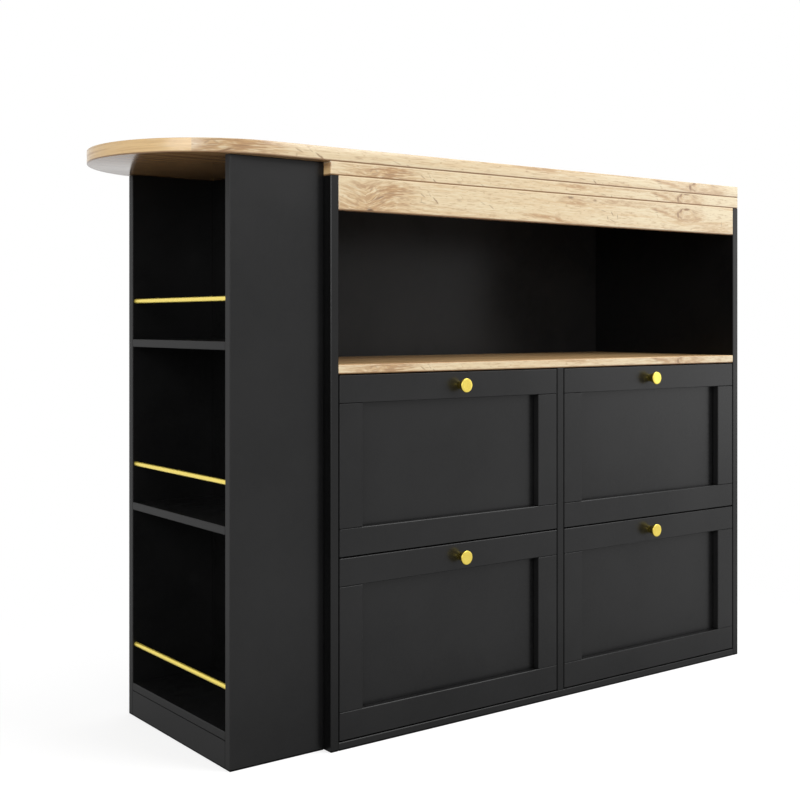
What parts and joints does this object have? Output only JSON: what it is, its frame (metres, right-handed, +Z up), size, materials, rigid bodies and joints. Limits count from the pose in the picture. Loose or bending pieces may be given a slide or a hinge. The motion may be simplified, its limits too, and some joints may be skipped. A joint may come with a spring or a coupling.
{
  "type": "bar table",
  "caption": "Bar table: black cabinet with drawers and an open niche, an open end tower with gold rails, and an oak-look worktop with a half-round end.",
  "frame": {"origin": "on the floor under the middle of the cabinet, halfway between its sides and halfway from front to rear", "axes": "+X to the right along the front, +Y from the drawer fronts to the back panel, +Z up"},
  "size_m": [1.3059, 0.419, 0.959],
  "materials": {
    "black_board": "satin black coated board",
    "oak_board": "matt oak-look decor with knots and cracks",
    "gold_metal": "satin gold plated",
    "zinc_steel": "zinc plated",
    "drawer_board": "matt black coated board",
    "dowel_wood": "raw beech"
  },
  "bodies": {
    "cabinet": {"apron": "oak_board", "back_panel": "black_board", "bottom_panel": "black_board", "cabinet_screws": "zinc_steel", "cabinet_top": "oak_board", "cam_fittings": "zinc_steel", "dowels": "dowel_wood", "left_side_panel": "black_board", "lower_rail": "gold_metal", "middle_rail": "gold_metal", "niche_shelf": "oak_board", "outer_runners": "zinc_steel", "partition": "black_board", "right_side_panel": "black_board", "tower_base_shelf": "black_board", "tower_bolts": "zinc_steel", "tower_front_panel": "black_board", "tower_inner_panel": "black_board", "tower_lower_shelf": "black_board", "tower_plinth": "black_board", "tower_rear_panel": "black_board", "tower_upper_shelf": "black_board", "upper_rail": "gold_metal", "worktop": "oak_board"},
    "upper_left_drawer": {"upper_left_drawer_box_bottom": "drawer_board", "upper_left_drawer_box_ends": "drawer_board", "upper_left_drawer_box_sides": "drawer_board", "upper_left_drawer_front_frame": "black_board", "upper_left_drawer_front_panel": "black_board", "upper_left_drawer_inner_runners": "zinc_steel", "upper_left_drawer_knob": "gold_metal", "upper_left_drawer_screws": "zinc_steel"},
    "upper_left_runner": {"upper_left_drawer_middle_runners": "zinc_steel"},
    "upper_right_drawer": {"upper_right_drawer_box_bottom": "drawer_board", "upper_right_drawer_box_ends": "drawer_board", "upper_right_drawer_box_sides": "drawer_board", "upper_right_drawer_front_frame": "black_board", "upper_right_drawer_front_panel": "black_board", "upper_right_drawer_inner_runners": "zinc_steel", "upper_right_drawer_knob": "gold_metal", "upper_right_drawer_screws": "zinc_steel"},
    "upper_right_runner": {"upper_right_drawer_middle_runners": "zinc_steel"},
    "lower_left_drawer": {"lower_left_drawer_box_bottom": "drawer_board", "lower_left_drawer_box_ends": "drawer_board", "lower_left_drawer_box_sides": "drawer_board", "lower_left_drawer_front_frame": "black_board", "lower_left_drawer_front_panel": "black_board", "lower_left_drawer_inner_runners": "zinc_steel", "lower_left_drawer_knob": "gold_metal", "lower_left_drawer_screws": "zinc_steel"},
    "lower_left_runner": {"lower_left_drawer_middle_runners": "zinc_steel"},
    "lower_right_drawer": {"lower_right_drawer_box_bottom": "drawer_board", "lower_right_drawer_box_ends": "drawer_board", "lower_right_drawer_box_sides": "drawer_board", "lower_right_drawer_front_frame": "black_board", "lower_right_drawer_front_panel": "black_board", "lower_right_drawer_inner_runners": "zinc_steel", "lower_right_drawer_knob": "gold_metal", "lower_right_drawer_screws": "zinc_steel"},
    "lower_right_runner": {"lower_right_drawer_middle_runners": "zinc_steel"}
  },
  "joints": [
    {"name": "upper_left_drawer_slide", "type": "slide", "parent": "cabinet", "child": "upper_left_drawer", "axis": [0, -1, 0], "range_m": [0, 0.33]},
    {"name": "upper_left_runner_slide", "type": "slide", "parent": "cabinet", "child": "upper_left_runner", "axis": [0, -1, 0], "range_m": [0, 0.165]},
    {"name": "upper_right_drawer_slide", "type": "slide", "parent": "cabinet", "child": "upper_right_drawer", "axis": [0, -1, 0], "range_m": [0, 0.33]},
    {"name": "upper_right_runner_slide", "type": "slide", "parent": "cabinet", "child": "upper_right_runner", "axis": [0, -1, 0], "range_m": [0, 0.165]},
    {"name": "lower_left_drawer_slide", "type": "slide", "parent": "cabinet", "child": "lower_left_drawer", "axis": [0, -1, 0], "range_m": [0, 0.33]},
    {"name": "lower_left_runner_slide", "type": "slide", "parent": "cabinet", "child": "lower_left_runner", "axis": [0, -1, 0], "range_m": [0, 0.165]},
    {"name": "lower_right_drawer_slide", "type": "slide", "parent": "cabinet", "child": "lower_right_drawer", "axis": [0, -1, 0], "range_m": [0, 0.33]},
    {"name": "lower_right_runner_slide", "type": "slide", "parent": "cabinet", "child": "lower_right_runner", "axis": [0, -1, 0], "range_m": [0, 0.165]}
  ],
  "couplings": [
    {"joint": "upper_left_runner_slide", "follows": "upper_left_drawer_slide", "ratio": 0.5},
    {"joint": "upper_right_runner_slide", "follows": "upper_right_drawer_slide", "ratio": 0.5},
    {"joint": "lower_left_runner_slide", "follows": "lower_left_drawer_slide", "ratio": 0.5},
    {"joint": "lower_right_runner_slide", "follows": "lower_right_drawer_slide", "ratio": 0.5}
  ]
}
